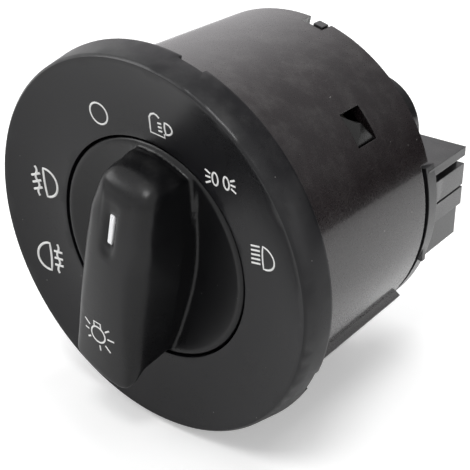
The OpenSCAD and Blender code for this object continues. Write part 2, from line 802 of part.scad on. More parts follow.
// The slot's radius falls evenly with the angle, so the latches move in step with the ring
module cam_slot(clock) {
    steps = 18;
    angles = [for (i = [0:steps]) clock - release_turn * (1 - i / steps)];
    radii = [for (i = [0:steps]) pin_at - latch_stroke * (1 - i / steps)];
    outer = [for (i = [0:steps]) let (a = angles[i] - 90, r = radii[i] + slot_half) [r * cos(a), r * sin(a)]];
    inner = [for (i = [steps:-1:0]) let (a = angles[i] - 90, r = radii[i] - slot_half) [r * cos(a), r * sin(a)]];
    translate([0, 0, release_y - 1]) linear_extrude(height = release_t + 2) union() {
        polygon(concat(outer, inner));
        for (i = [0, steps]) rotate([0, 0, angles[i] - 90]) translate([radii[i], 0]) circle(r = slot_half);
    }
}

module release_ring() {
    color([0.86, 0.86, 0.84]) along_y() difference() {
        union() {
            ring(arm_in + 0.5, release_hub, release_y, release_end);
            ring(release_hub_r, release_hub, release_y, release_hub_end);
            for (c = [latch_clock, latch_clock + 180])
                arc_block(arm_in, arm_r, c - release_turn - arm_edge, c + arm_edge, release_y, release_end);
        }
        for (c = [latch_clock, latch_clock + 180]) cam_slot(c);
    }
}

// A latch bar points outwards along x and ends in a low four-sided point
module latch() {
    out = barrel_r + latch_out;
    root = barrel_r - 0.5;
    tip = 0.3;
    mid = latch_y + latch_h * 0.48;
    intersection() {
        translate([latch_in, -latch_w / 2, latch_y]) cube([out - latch_in, latch_w, latch_h]);
        translate([0, latch_w, 0]) rotate([90, 0, 0]) linear_extrude(height = latch_w * 2) polygon([
            [latch_in, latch_y], [root, latch_y], [out, mid - tip], [out, mid + tip],
            [root, latch_end], [latch_in, latch_end]
        ]);
        translate([0, 0, latch_y - 1]) linear_extrude(height = latch_h + 2) polygon([
            [latch_in, -latch_w / 2], [root, -latch_w / 2], [out, -tip], [out, tip],
            [root, latch_w / 2], [latch_in, latch_w / 2]
        ]);
    }
    translate([pin_at, 0, latch_end - eps]) cylinder(r = latch_pin_r, h = release_end - latch_end + 0.3);
}

module latch_right() {
    color([0.13, 0.13, 0.135]) along_y() at_clock(latch_clock) latch();
}

module latch_left() {
    color([0.13, 0.13, 0.135]) along_y() at_clock(latch_clock + 180) latch();
}

barrel_housing();
front_bezel();
light_guide();
circuit_board();
board_leds();
contact_plate();
contact_tracks();
terminal_board();
bus_bars();
terminal_pins();
pull_contacts();
rear_cover();
shaft_led();
release_spring();
knob_spring();
rotor_carrier();
contact_bridges();
detent_spring();
detent_ball();
knob_cap();
indicator_lens();
knob_shaft();
light_pipe();
pull_slider();
pull_wiper();
shaft_clip();
release_ring();
latch_right();
latch_left();
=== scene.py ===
import math

import bpy
from mathutils import Matrix, Vector


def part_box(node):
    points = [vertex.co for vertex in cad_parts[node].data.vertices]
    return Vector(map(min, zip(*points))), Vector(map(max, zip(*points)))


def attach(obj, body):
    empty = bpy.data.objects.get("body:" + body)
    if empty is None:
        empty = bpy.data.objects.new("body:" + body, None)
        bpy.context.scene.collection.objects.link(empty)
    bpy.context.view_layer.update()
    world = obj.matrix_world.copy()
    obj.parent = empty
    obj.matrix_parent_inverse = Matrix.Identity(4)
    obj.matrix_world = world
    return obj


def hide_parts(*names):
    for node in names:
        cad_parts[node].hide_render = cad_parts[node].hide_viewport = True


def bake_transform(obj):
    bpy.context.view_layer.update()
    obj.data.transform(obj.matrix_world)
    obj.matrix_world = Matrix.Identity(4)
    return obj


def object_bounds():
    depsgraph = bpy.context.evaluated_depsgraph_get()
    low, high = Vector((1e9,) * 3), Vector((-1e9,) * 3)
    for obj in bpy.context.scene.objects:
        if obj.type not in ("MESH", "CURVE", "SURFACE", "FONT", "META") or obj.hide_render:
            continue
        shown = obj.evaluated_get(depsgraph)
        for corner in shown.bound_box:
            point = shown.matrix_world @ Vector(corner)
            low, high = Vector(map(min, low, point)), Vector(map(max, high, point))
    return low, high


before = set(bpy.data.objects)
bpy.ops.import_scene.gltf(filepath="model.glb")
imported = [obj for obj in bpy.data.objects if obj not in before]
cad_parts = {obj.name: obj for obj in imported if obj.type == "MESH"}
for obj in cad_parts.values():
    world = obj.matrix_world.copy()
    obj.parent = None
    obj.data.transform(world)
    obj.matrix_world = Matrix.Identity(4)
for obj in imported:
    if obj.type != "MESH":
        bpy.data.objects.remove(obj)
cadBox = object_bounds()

mm = 0.001


# small helpers for selecting and finishing

def deselectAll():
    if bpy.context.object and bpy.context.object.mode != "OBJECT":
        bpy.ops.object.mode_set(mode="OBJECT")
    bpy.ops.object.select_all(action="DESELECT")


def pick(piece):
    deselectAll()
    piece.select_set(True)
    bpy.context.view_layer.objects.active = piece


def applyPlace(piece):
    pick(piece)
    bpy.ops.object.transform_apply(location=True, rotation=True, scale=True)


def addModifier(piece, kind, **values):
    pick(piece)
    bpy.ops.object.modifier_add(type=kind)
    modifier = piece.modifiers[-1]
    for key, value in values.items():
        setattr(modifier, key, value)
    bpy.ops.object.modifier_apply(modifier=modifier.name)


def smoothByAngle(piece, degrees):
    pick(piece)
    bpy.ops.object.shade_smooth_by_angle(angle=math.radians(degrees))


def paint(piece, material):
    piece.data.materials.clear()
    piece.data.materials.append(material)


def mergedCopy(nodeName, pieceName):
    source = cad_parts[nodeName]
    piece = source.copy()
    piece.data = source.data.copy()
    piece.name = pieceName
    piece.parent = None
    piece.matrix_world = Matrix.Identity(4)
    bpy.context.scene.collection.objects.link(piece)
    pick(piece)
    bpy.ops.object.mode_set(mode="EDIT")
    bpy.ops.mesh.select_all(action="SELECT")
    bpy.ops.mesh.remove_doubles(threshold=0.000002)
    bpy.ops.mesh.dissolve_limited(angle_limit=math.radians(0.4))
    bpy.ops.object.mode_set(mode="OBJECT")
    return piece


def copyOfNode(nodeName, pieceName, body, material, edge=0.12, angle=35):
    # a merged copy of a CAD node with small rounded edges stands for the node
    piece = mergedCopy(nodeName, pieceName)
    if edge:
        addModifier(piece, "BEVEL", width=edge * mm, segments=2, limit_method="ANGLE",
                    angle_limit=math.radians(38), use_clamp_overlap=True, harden_normals=False)
    smoothByAngle(piece, angle)
    paint(piece, material)
    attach(piece, body)
    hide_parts(nodeName)
    return piece


def trueRound(piece, look):
    # the outer cylinder gets exact radial normals and wide flats their own, so that gloss runs clean
    radius, reach = look["radius"] * mm, look["reach"] * mm
    mesh = piece.data
    normals = [Vector(corner.vector) for corner in mesh.corner_normals]
    for face in mesh.polygons:
        wide = face.area > look["flat"] * mm * mm
        for loop in face.loop_indices:
            if wide:
                normals[loop] = face.normal.copy()
            spot = mesh.vertices[mesh.loops[loop].vertex_index].co
            out = Vector((spot.x, 0.0, spot.z))
            if abs(out.length - radius) < reach and face.normal.dot(out.normalized()) > 0.985:
                normals[loop] = out.normalized()
    mesh.normals_split_custom_set(normals)


def mouldedCopy(nodeName, pieceName, body, material, look):
    # the solid is skinned with even small faces, and its creases melt into moulded blends
    piece = mergedCopy(nodeName, pieceName)
    addModifier(piece, "REMESH", mode="VOXEL", voxel_size=look["skin"] * mm, adaptivity=0.0)
    for depth, factor, repeat in look["soften"]:
        pick(piece)
        bpy.ops.object.mode_set(mode="EDIT")
        bpy.ops.mesh.select_mode(type="VERT")
        bpy.ops.mesh.select_all(action="DESELECT")
        bpy.ops.object.mode_set(mode="OBJECT")
        for vertex in piece.data.vertices:
            vertex.select = vertex.co.y < depth * mm
        bpy.ops.object.mode_set(mode="EDIT")
        bpy.ops.mesh.vertices_smooth(factor=factor, repeat=repeat)
        bpy.ops.object.mode_set(mode="OBJECT")
    pick(piece)
    bpy.ops.object.shade_smooth()
    paint(piece, material)
    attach(piece, body)
    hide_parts(nodeName)
    return piece


# effects that several materials share

def newGroup(name, inputs, outputs):
    tree = bpy.data.node_groups.new(name, "ShaderNodeTree")
    for label, value in inputs:
        socket = tree.interface.new_socket(name=label, in_out="INPUT", socket_type="NodeSocketFloat")
        socket.default_value = value
    for label in outputs:
        kind = "NodeSocketVector" if label == "Normal" else "NodeSocketFloat"
        tree.interface.new_socket(name=label, in_out="OUTPUT", socket_type=kind)
    return tree, tree.nodes.new("NodeGroupInput"), tree.nodes.new("NodeGroupOutput")


def math2(tree, operation, first, second, clamp=False):
    step = tree.nodes.new("ShaderNodeMath")
    step.operation = operation
    step.use_clamp = clamp
    for socket, value in zip(step.inputs, (first, second)):
        if isinstance(value, (int, float)):
            socket.default_value = value
        else:
            tree.links.new(value, socket)
    return step.outputs[0]


def noise(tree, scale, detail=3.0, roughness=0.55, stretch=None, turn=None):
    place = tree.nodes.new("ShaderNodeTexCoord")
    texture = tree.nodes.new("ShaderNodeTexNoise")
    texture.inputs["Detail"].default_value = detail
    texture.inputs["Roughness"].default_value = roughness
    source = place.outputs["Object"]
    if stretch:
        mapping = tree.nodes.new("ShaderNodeMapping")
        mapping.inputs["Scale"].default_value = stretch
        if turn:
            mapping.inputs["Rotation"].default_value = turn
        tree.links.new(source, mapping.inputs["Vector"])
        source = mapping.outputs["Vector"]
    tree.links.new(source, texture.inputs["Vector"])
    if isinstance(scale, (int, float)):
        texture.inputs["Scale"].default_value = scale
    else:
        tree.links.new(scale, texture.inputs["Scale"])
    return texture.outputs["Fac"]


def ramp(tree, value, low, high, smooth=True):
    step = tree.nodes.new("ShaderNodeMapRange")
    step.interpolation_type = "SMOOTHSTEP" if smooth else "LINEAR"
    step.inputs["From Min"].default_value = low
    step.inputs["From Max"].default_value = high
    tree.links.new(value, step.inputs["Value"])
    return step.outputs["Result"]


def buildGrainGroup():
    tree, start, end = newGroup("mouldedGrain", [("Scale", 5000.0)], ["Height", "Sparkle"])
    fine = noise(tree, start.outputs["Scale"], 2.0, 0.6)
    broad = noise(tree, math2(tree, "MULTIPLY", start.outputs["Scale"], 0.22), 2.0, 0.5)
    mixed = math2(tree, "ADD", math2(tree, "MULTIPLY", fine, 0.7), math2(tree, "MULTIPLY", broad, 0.3))
    tree.links.new(mixed, end.inputs["Height"])
    tree.links.new(ramp(tree, fine, 0.35, 0.7), end.inputs["Sparkle"])
    return tree


def buildDriftGroup():
    tree, start, end = newGroup("toneDrift", [("Scale", 60.0)], ["Value"])
    tree.links.new(ramp(tree, noise(tree, start.outputs["Scale"], 4.0, 0.6), 0.3, 0.7), end.inputs["Value"])
    return tree


def buildWearGroup():
    # where the bevelled normal leaves the true one there is an edge, broken up by noise
    tree, start, end = newGroup("edgeWear", [("Radius", 0.0004), ("Breakup", 700.0), ("Amount", 0.5)],
                                ["Mask", "Normal"])
    rounded = tree.nodes.new("ShaderNodeBevel")
    rounded.samples = 4
    tree.links.new(start.outputs["Radius"], rounded.inputs["Radius"])
    flat = tree.nodes.new("ShaderNodeNewGeometry")
    dot = tree.nodes.new("ShaderNodeVectorMath")
    dot.operation = "DOT_PRODUCT"
    tree.links.new(rounded.outputs["Normal"], dot.inputs[0])
    tree.links.new(flat.outputs["Normal"], dot.inputs[1])
    edge = ramp(tree, math2(tree, "SUBTRACT", 1.0, dot.outputs["Value"]), 0.02, 0.22)
    broken = ramp(tree, noise(tree, start.outputs["Breakup"], 4.0, 0.65), 0.42, 0.62)
    mask = math2(tree, "MULTIPLY", math2(tree, "MULTIPLY", edge, broken), start.outputs["Amount"], True)
    tree.links.new(mask, end.inputs["Mask"])
    tree.links.new(rounded.outputs["Normal"], end.inputs["Normal"])
    return tree


def buildDustGroup():
    # sparse specks, and a thin film on what faces up
    tree, start, end = newGroup("settledDust", [("Scale", 900.0), ("Amount", 0.4)], ["Mask"])
    place = tree.nodes.new("ShaderNodeTexCoord")
    cells = tree.nodes.new("ShaderNodeTexVoronoi")
    tree.links.new(place.outputs["Object"], cells.inputs["Vector"])
    tree.links.new(start.outputs["Scale"], cells.inputs["Scale"])
    near = math2(tree, "LESS_THAN", cells.outputs["Distance"], 0.09)
    split = tree.nodes.new("ShaderNodeSeparateColor")
    tree.links.new(cells.outputs["Color"], split.inputs["Color"])
    chosen = math2(tree, "GREATER_THAN", split.outputs["Red"], 0.965)
    speck = math2(tree, "MULTIPLY", near, chosen)
    flat = tree.nodes.new("ShaderNodeNewGeometry")
    axes = tree.nodes.new("ShaderNodeSeparateXYZ")
    tree.links.new(flat.outputs["Normal"], axes.inputs["Vector"])
    upward = ramp(tree, axes.outputs["Z"], 0.1, 1.0)
    film = math2(tree, "MULTIPLY", math2(tree, "MULTIPLY", upward, ramp(tree, noise(tree, 180.0, 5.0, 0.7), 0.4, 0.75)), 0.1)
    mask = math2(tree, "MULTIPLY", math2(tree, "ADD", speck, film), start.outputs["Amount"], True)
    tree.links.new(mask, end.inputs["Mask"])
    return tree


def buildScuffGroup():
    # hairline marks in two directions, only in patches
    tree, start, end = newGroup("hairlineScuffs", [("Scale", 120.0), ("Amount", 0.4)], ["Mask"])
    one = ramp(tree, noise(tree, start.outputs["Scale"], 2.0, 0.5, (1.0, 14.0, 34.0), (0.3, 0.5, 0.2)), 0.63, 0.7)
    two = ramp(tree, noise(tree, start.outputs["Scale"], 2.0, 0.5, (30.0, 12.0, 1.0), (0.1, 0.9, 0.5)), 0.64, 0.71)
    patch = ramp(tree, noise(tree, 55.0, 2.0, 0.5), 0.45, 0.65)
    both = math2(tree, "MAXIMUM", one, two)
    mask = math2(tree, "MULTIPLY", math2(tree, "MULTIPLY", both, patch), start.outputs["Amount"], True)
    tree.links.new(mask, end.inputs["Mask"])
    return tree


effects = {
    "grain": buildGrainGroup(),
    "drift": buildDriftGroup(),
    "wear": buildWearGroup(),
    "dust": buildDustGroup(),
    "scuff": buildScuffGroup(),
}
print("effects ready")


def useGroup(tree, name, **values):
    step = tree.nodes.new("ShaderNodeGroup")
    step.node_tree = effects[name]
    for label, value in values.items():
        step.inputs[label].default_value = value
    return step


def mixColour(tree, mask, first, second):
    step = tree.nodes.new("ShaderNodeMix")
    step.data_type = "RGBA"
    for socket, value in zip((step.inputs[6], step.inputs[7]), (first, second)):
        if isinstance(value, tuple):
            socket.default_value = (*value, 1.0)
        else:
            tree.links.new(value, socket)
    tree.links.new(mask, step.inputs[0])
    return step.outputs[2]


def finishMaterial(name, look):
    # one recipe for every solid finish: drift of tone, grain, worn edges, hairlines, dust
    material = bpy.data.materials.new(name)
    material.use_nodes = True
    tree = material.node_tree
    shader = tree.nodes["Principled BSDF"]
    drift = useGroup(tree, "drift", Scale=look.get("driftScale", 60.0)).outputs["Value"]
    grain = useGroup(tree, "grain", Scale=look.get("grainScale", 5000.0))
    edges = useGroup(tree, "wear", Radius=look.get("wearRadius", 0.0003), Amount=look.get("wear", 0.4))
    wear = edges.outputs["Mask"]
    dust = useGroup(tree, "dust", Scale=look.get("dustScale", 900.0), Amount=look.get("dust", 0.35)).outputs["Mask"]
    scuff = useGroup(tree, "scuff", Scale=look.get("scuffScale", 120.0), Amount=look.get("scuff", 0.3)).outputs["Mask"]
    colour = mixColour(tree, drift, look["dark"], look["light"])
    colour = mixColour(tree, wear, colour, look["worn"])
    colour = mixColour(tree, scuff, colour, look["worn"])
    colour = mixColour(tree, dust, colour, look.get("dustColour", (0.55, 0.54, 0.52)))
    tree.links.new(colour, shader.inputs["Base Color"])
    low, high = look["roughness"]
    spread = math2(tree, "MULTIPLY", grain.outputs["Sparkle"], high - low)
    rough = math2(tree, "ADD", spread, math2(tree, "ADD", math2(tree, "MULTIPLY", drift, 0.05), low))
    rough = math2(tree, "ADD", rough, math2(tree, "MULTIPLY", math2(tree, "MAXIMUM", dust, scuff), 0.25), True)
    tree.links.new(rough, shader.inputs["Roughness"])
    bump = tree.nodes.new("ShaderNodeBump")
    bump.inputs["Strength"].default_value = look.get("bump", 0.25)
    bump.inputs["Distance"].default_value = look.get("bumpDepth", 0.00002)
    height = math2(tree, "SUBTRACT", grain.outputs["Height"], math2(tree, "MULTIPLY", scuff, 0.5))
    tree.links.new(height, bump.inputs["Height"])
    if look.get("roundEdges"):
        tree.links.new(edges.outputs["Normal"], bump.inputs["Normal"])
    tree.links.new(bump.outputs["Normal"], shader.inputs["Normal"])
    shader.inputs["Metallic"].default_value = look.get("metallic", 0.0)
    shader.inputs["IOR"].default_value = look.get("ior", 1.48)
    shader.inputs["Specular IOR Level"].default_value = look.get("specular", 0.5)
    if "coat" in look:
        shader.inputs["Coat Weight"].default_value = look["coat"]
        shader.inputs["Coat Roughness"].default_value = look.get("coatRoughness", 0.1)
    if "transmission" in look:
        shader.inputs["Transmission Weight"].default_value = look["transmission"]
    if "subsurface" in look:
        shader.inputs["Subsurface Weight"].default_value = look["subsurface"]
        shader.inputs["Subsurface Radius"].default_value = (0.002, 0.002, 0.002)
    return material


looks = {
    "face_black": {"dark": (0.0036, 0.0035, 0.0046), "light": (0.0052, 0.0051, 0.0064), "worn": (0.05, 0.05, 0.052),
                   "roughness": (0.26, 0.34), "grainScale": 6500.0, "bump": 0.2, "wear": 0.3, "dust": 0.3, "scuff": 0.08,
                   "specular": 0.38},
    "knob_black": {"dark": (0.0022, 0.0022, 0.0028), "light": (0.0034, 0.0034, 0.0042), "worn": (0.03, 0.03, 0.032),
                   "roughness": (0.26, 0.33), "grainScale": 7500.0, "bump": 0.15, "wear": 0.15, "dust": 0.22, "scuff": 0.08,
                   "specular": 0.36},
    "housing_black": {"dark": (0.009, 0.0064, 0.007), "light": (0.0132, 0.0095, 0.0104), "worn": (0.09, 0.085, 0.085),
                      "roughness": (0.2, 0.28), "grainScale": 3200.0, "bump": 0.1, "wear": 0.3, "dust": 0.5, "scuff": 0.2,
                      "specular": 0.5, "coat": 0.7, "coatRoughness": 0.1, "roundEdges": True},
    "cover_black": {"dark": (0.008, 0.0078, 0.0088), "light": (0.0125, 0.0122, 0.0136), "worn": (0.1, 0.1, 0.1),
                    "roughness": (0.28, 0.38), "grainScale": 3600.0, "bump": 0.12, "wear": 0.35, "dust": 0.4, "scuff": 0.18,
                    "specular": 0.6, "coat": 0.6, "coatRoughness": 0.2, "roundEdges": True},
    "inner_black": {"dark": (0.006, 0.006, 0.006), "light": (0.009, 0.009, 0.009), "worn": (0.08, 0.08, 0.08),
                    "roughness": (0.22, 0.32), "wear": 0.3, "dust": 0.1, "scuff": 0.1, "specular": 0.4, "roundEdges": True},
    "clear_plastic": {"dark": (0.86, 0.88, 0.88), "light": (0.92, 0.93, 0.93), "worn": (0.98, 0.98, 0.98),
                      "roughness": (0.1, 0.18), "transmission": 0.85, "dust": 0.1, "wear": 0.2, "bump": 0.05},
    "lens_white": {"dark": (0.92, 0.93, 0.95), "light": (0.96, 0.97, 0.98), "worn": (0.97, 0.97, 0.97),
                   "roughness": (0.18, 0.28), "dust": 0.05, "wear": 0.1, "scuff": 0.05, "bump": 0.05, "subsurface": 0.2},
    "board_green": {"dark": (0.012, 0.075, 0.03), "light": (0.018, 0.1, 0.04), "worn": (0.3, 0.26, 0.14),
                    "roughness": (0.3, 0.45), "coat": 0.3},
    "lamp_yellow": {"dark": (0.75, 0.5, 0.1), "light": (0.85, 0.62, 0.16), "worn": (0.9, 0.85, 0.6),
                    "roughness": (0.2, 0.3)},
    "natural_plastic": {"dark": (0.56, 0.54, 0.48), "light": (0.66, 0.64, 0.57), "worn": (0.8, 0.79, 0.75),
                        "roughness": (0.35, 0.5), "subsurface": 0.15},
    "contact_brass": {"dark": (0.62, 0.42, 0.14), "light": (0.78, 0.56, 0.22), "worn": (0.9, 0.76, 0.45),
                      "roughness": (0.22, 0.38), "metallic": 1.0, "dust": 0.05},
    "pin_tin": {"dark": (0.52, 0.52, 0.51), "light": (0.66, 0.66, 0.65), "worn": (0.85, 0.85, 0.83),
                "roughness": (0.2, 0.34), "metallic": 1.0, "dust": 0.05},
    "spring_steel": {"dark": (0.36, 0.36, 0.37), "light": (0.5, 0.5, 0.51), "worn": (0.75, 0.75, 0.76),
                     "roughness": (0.2, 0.32), "metallic": 1.0, "dust": 0.05},
    "ball_steel": {"dark": (0.5, 0.5, 0.51), "light": (0.6, 0.6, 0.61), "worn": (0.8, 0.8, 0.8),
                   "roughness": (0.08, 0.14), "metallic": 1.0, "dust": 0.0},
    "print_white": {"dark": (0.8, 0.8, 0.79), "light": (0.86, 0.86, 0.85), "worn": (0.5, 0.5, 0.5),
                    "roughness": (0.5, 0.6), "dust": 0.0, "wear": 0.1, "scuff": 0.1, "bump": 0.05},
}
materials = {name: finishMaterial(name, look) for name, look in looks.items()}
print("materials ready")

nodeFinish = {
    "barrel_housing": "housing_black", "front_bezel": "face_black", "light_guide": "clear_plastic",
    "circuit_board": "board_green", "board_leds": "lamp_yellow", "contact_plate": "inner_black",
    "contact_tracks": "contact_brass", "terminal_board": "inner_black", "bus_bars": "contact_brass",
    "terminal_pins": "pin_tin", "pull_contacts": "contact_brass", "rear_cover": "cover_black",
    "shaft_led": "lamp_yellow", "release_spring": "spring_steel", "knob_spring": "spring_steel",
    "rotor_carrier": "natural_plastic", "contact_bridges": "contact_brass", "detent_spring": "spring_steel",
    "detent_ball": "ball_steel", "knob_cap": "knob_black", "indicator_lens": "lens_white",
    "knob_shaft": "inner_black", "light_pipe": "clear_plastic", "pull_slider": "natural_plastic",
    "pull_wiper": "contact_brass", "shaft_clip": "spring_steel", "release_ring": "natural_plastic",
    "latch_right": "inner_black", "latch_left": "inner_black",
}
for nodeName, finish in nodeFinish.items():
    paint(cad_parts[nodeName], materials[finish])
print("CAD nodes painted")


# finished copies of the solids that show

barrelLook = {"radius": 33.5, "reach": 0.05, "flat": 80.0}
barrel = copyOfNode("barrel_housing", "barrelHousing", "housing", materials["housing_black"], edge=0)
trueRound(barrel, barrelLook)
cover = copyOfNode("rear_cover", "rearCover", "housing", materials["cover_black"], edge=0)
trueRound(cover, barrelLook)
copyOfNode("front_bezel", "faceBezel", "housing", materials["face_black"], edge=0.12)

knobLook = {"skin": 0.32, "soften": [(50.0, 0.5, 2), (-4.6, 0.5, 14)], "clock": 15.0, "foot": -5.0, "top": -14.6,
            "crown": 26.0, "noseFrom": 13.0, "noseBack": 2.0, "half": 8.2, "tailFrom": -14.0, "tailOut": 1.0,
            "left": [(-30, 1.1), (-20, 0.9), (-8, 0.3), (2, 0.4), (10, 0.9), (18, 1.3), (30, 1.3)],
            "right": [(-30, 0.1), (-20, 0.5), (-8, 1.6), (2, 2.0), (10, 0.9), (18, 0.0), (30, 0.0)],
            "noseSmooth": 120, "noseStart": 9.0, "noseFull": 16.0, "noseFoot": -5.5, "noseHigh": -8.5,
            "bowl": 1.5, "bowlFrom": 7.6, "bowlTo": 20.4,
            "groove": (4.6, 16.0, 1.9), "slide": (-1.1, -0.67), "slideReach": 2.2}


def along(table, at):
    for (a, first), (b, second) in zip(table, table[1:]):
        if at <= b:
            t = min(max((at - a) / (b - a), 0.0), 1.0)
            return first + (second - first) * t * t * (3 - 2 * t)
    return table[-1][1]


def shapeGrip(piece, look):
    # the grip's top draws in towards its ends, is crowned across, and its nose leans back
    clock = math.radians(look["clock"])
    for vertex in piece.data.vertices:
        x, y, z = (value / mm for value in vertex.co)
        rise = min(max((look["foot"] - y) / (look["foot"] - look["top"]), 0.0), 1.0)
        if not rise:
            continue
        u, v = x * math.sin(clock) + z * math.cos(clock), x * math.cos(clock) - z * math.sin(clock)
        side = v / look["half"]
        v -= side * along(look["left"] if v < 0 else look["right"], u) * rise
        y += v * v / (2 * look["crown"]) * rise * rise
        if u > look["noseFrom"]:
            t = min((u - look["noseFrom"]) / (21.6 - look["noseFrom"]), 1.0)
            u -= look["noseBack"] * t * t * rise
        if u < look["tailFrom"] and v > 0:
            t = min((look["tailFrom"] - u) / 8, 1.0)
            u -= look["tailOut"] * t * t * min(v / 5, 1.0) * rise
        vertex.co = ((u * math.sin(clock) + v * math.cos(clock)) * mm, y * mm, (u * math.cos(clock) - v * math.sin(clock)) * mm)


def alongGrip(spot, look):
    clock = math.radians(look["clock"])
    x, z = spot.x / mm, spot.z / mm
    return x * math.sin(clock) + z * math.cos(clock), x * math.cos(clock) - z * math.sin(clock)


def easeIn(value, low, high):
    t = min(max((value - low) / (high - low), 0.0), 1.0)
    return t * t * (3 - 2 * t)


def fromGroove(u, v, look):
    low, high, half = look["groove"]
    return max(low - u, u - high, abs(v - lensPlace) - half, 0.0)


def roundNose(piece, look):
    # the nose melts into a soft shape, and that fades out towards the middle and the groove
    pick(piece)
    bpy.ops.object.mode_set(mode="EDIT")
    bpy.ops.mesh.select_mode(type="VERT")
    bpy.ops.mesh.select_all(action="DESELECT")
    bpy.ops.object.mode_set(mode="OBJECT")
    before = {}
    for vertex in piece.data.vertices:
        u, v = alongGrip(vertex.co, look)
        vertex.select = u > look["noseStart"] - 2 and vertex.co.y < look["noseFoot"] * mm
        if vertex.select:
            share = easeIn(u, look["noseStart"], look["noseFull"]) * easeIn(-vertex.co.y / mm, -look["noseFoot"], -look["noseHigh"])
            before[vertex.index] = (vertex.co.copy(), share * easeIn(fromGroove(u, v, look), 0.0, 1.5))
    bpy.ops.object.mode_set(mode="EDIT")
    bpy.ops.mesh.vertices_smooth(factor=0.5, repeat=look["noseSmooth"])
    bpy.ops.object.mode_set(mode="OBJECT")
    for index, (old, share) in before.items():
        vertex = piece.data.vertices[index]
        vertex.co = old.lerp(vertex.co, share)


def sinkDisc(piece, look):
    # the disc beside the grip is a shallow bowl that climbs to its rim
    span = look["bowlTo"] - look["bowlFrom"]
    for vertex in piece.data.vertices:
        v = abs(alongGrip(vertex.co, look)[1])
        y, reach = vertex.co.y / mm, math.hypot(vertex.co.x, vertex.co.z) / mm
        if v < look["bowlFrom"] or reach > look["bowlTo"] or not -5.0 < y < -0.9:
            continue
        t = (look["bowlTo"] - reach) / span
        near = min((y + 5.0) / 1.8, 1.0)
        vertex.co.y += look["bowl"] * min(t * 1.15, 1.0) * near * near * (3 - 2 * near) * mm


def slideGroove(piece, look, whole=False):
    # the indicator and the groove round it lie a little lower and further left than the solid's
    clock = math.radians(look["clock"])
    du, dv = look["slide"]
    for vertex in piece.data.vertices:
        u, v = alongGrip(vertex.co, look)
        away = fromGroove(u, v, look) / look["slideReach"]
        if not whole and (away >= 1.0 or vertex.co.y > -8.0 * mm):
            continue
        weight = 1.0 if whole else (1 - away) ** 2 * (1 + 2 * away)
        vertex.co.y += ((v + dv * weight) ** 2 - v * v) / (2 * look["crown"]) * mm
        vertex.co.x += (du * math.sin(clock) + dv * math.cos(clock)) * weight * mm
        vertex.co.z += (du * math.cos(clock) - dv * math.sin(clock)) * weight * mm


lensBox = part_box("indicator_lens")
lensMiddle = Vector([(a + b) / 2 for a, b in zip(*lensBox)])
lensPlace = alongGrip(lensMiddle, knobLook)[1]
knob = mouldedCopy("knob_cap", "knobCap", "knob", materials["knob_black"], knobLook)
shapeGrip(knob, knobLook)
roundNose(knob, knobLook)
sinkDisc(knob, knobLook)
slideGroove(knob, knobLook)
lens = mouldedCopy("indicator_lens", "indicatorLens", "knob", materials["lens_white"], {"skin": 0.12, "soften": [(50.0, 0.5, 12)]})
slideGroove(lens, knobLook, whole=True)

latchLook = {"clock": 50.0, "depth": 4.0, "rootRadius": 33.0, "drawIn": 1.4}


def fallAway(piece, clock, look):
    # the corner of the nose that lies upwards and to the rear drops into the window
    a = math.radians(clock)
    out, side = Vector((math.sin(a), 0, math.cos(a))), Vector((math.cos(a), 0, -math.sin(a)))
    rear = max(vertex.co.y for vertex in piece.data.vertices if abs(vertex.co.dot(out) - look["rootRadius"] * mm) < 0.4 * mm)
    for vertex in piece.data.vertices:
        if abs(vertex.co.dot(out) - look["rootRadius"] * mm) < 0.4 * mm and vertex.co.y > rear - 0.5 * mm:
            if vertex.co.dot(side) * (1 if clock < 180 else -1) < 0:
                vertex.co -= out * look["depth"] * mm
    for vertex in piece.data.vertices:
        if vertex.co.dot(out) > (look["rootRadius"] + 0.5) * mm:
            vertex.co -= out * look["drawIn"] * mm


for nodeName, pieceName, clock in (("latch_right", "latchRight", 0), ("latch_left", "latchLeft", 180)):
    latch = copyOfNode(nodeName, pieceName, nodeName, materials["inner_black"], edge=0.12)
    fallAway(latch, latchLook["clock"] + clock, latchLook)

# the return spring is a merged copy, shaded smooth, that stands for its node
spring = mergedCopy("knob_spring", "knobSpring")
smoothByAngle(spring, 35)
paint(spring, materials["spring_steel"])
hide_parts("knob_spring")
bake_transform(spring)
print("solids finished")


# symbols: flat beads that lie in the face and on the grip

symbolLook = {
    "dishRadius": 39.99, "dishInner": 21.8, "dishDepth": -43.39,
    "gripTop": -14.6, "gripCrown": 340.0, "gripClock": 15.0, "gripArch": 26.0,
    "beadRadius": 0.27, "boldRadius": 0.33, "sink": 0.19,
}


def faceDepth(x, z):
    r = math.hypot(x, z)
    return symbolLook["dishDepth"] + math.sqrt(symbolLook["dishRadius"] ** 2 - (r - symbolLook["dishInner"]) ** 2)


def gripDepth(x, z):
    clock = math.radians(symbolLook["gripClock"])
    length, across = x * math.sin(clock) + z * math.cos(clock), x * math.cos(clock) - z * math.sin(clock)
    return symbolLook["gripTop"] + length ** 2 / (2 * symbolLook["gripCrown"]) + across ** 2 / (2 * symbolLook["gripArch"])


def ovalPoints(x, z, halfWide, halfHigh, turn=0.0, first=0.0, last=360.0, steps=28):
    points = []
    for k in range(steps + 1):
        a = math.radians(first + (last - first) * k / steps)
        u, v = halfWide * math.sin(a), halfHigh * math.cos(a)
        t = math.radians(turn)
        points.append((x + u * math.cos(t) + v * math.sin(t), z - u * math.sin(t) + v * math.cos(t)))
    return points


def barPoints(x0, z0, x1, z1):
    return [(x0 + (x1 - x0) * k / 4, z0 + (z1 - z0) * k / 4) for k in range(5)]


def shiftPoints(points, x, z, turn=0.0):
    t = math.radians(turn)
    return [(x + u * math.cos(t) + v * math.sin(t), z - u * math.sin(t) + v * math.cos(t)) for u, v in points]


